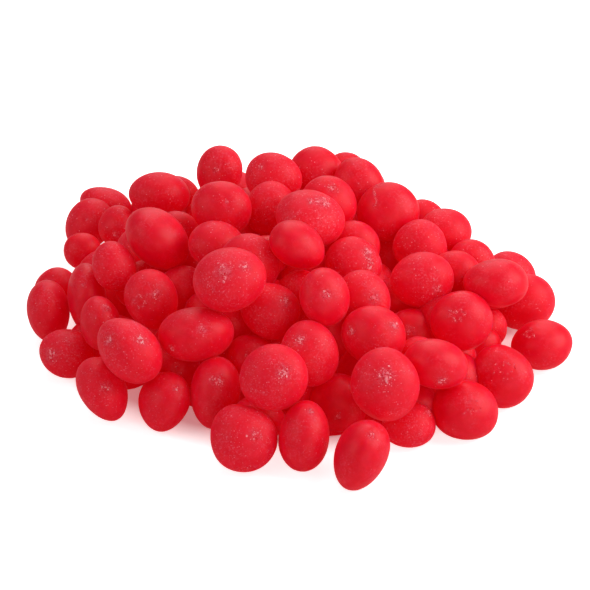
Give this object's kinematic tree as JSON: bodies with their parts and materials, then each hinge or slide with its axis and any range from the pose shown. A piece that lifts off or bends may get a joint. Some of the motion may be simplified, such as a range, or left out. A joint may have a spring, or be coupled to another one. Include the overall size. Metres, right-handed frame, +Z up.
{
  "type": "heap of cinnamon imperial candies",
  "caption": "Loose heap of small red pebble-shaped hard cinnamon candies, lying as poured on a flat surface.",
  "frame": {"origin": "middle of the heap's box, at the level of the surface that the heap lies on", "axes": "+Z up; -Y toward the front, from which the picture looks down at the heap; +X to that viewer's right"},
  "size_m": [0.0896, 0.0922, 0.0264],
  "materials": {
    "candy_red": "red boiled sugar with a dull waxy skin and fine pale sugar specks"
  },
  "bodies": {
    "root": {"candy_heap": "candy_red"}
  },
  "joints": []
}
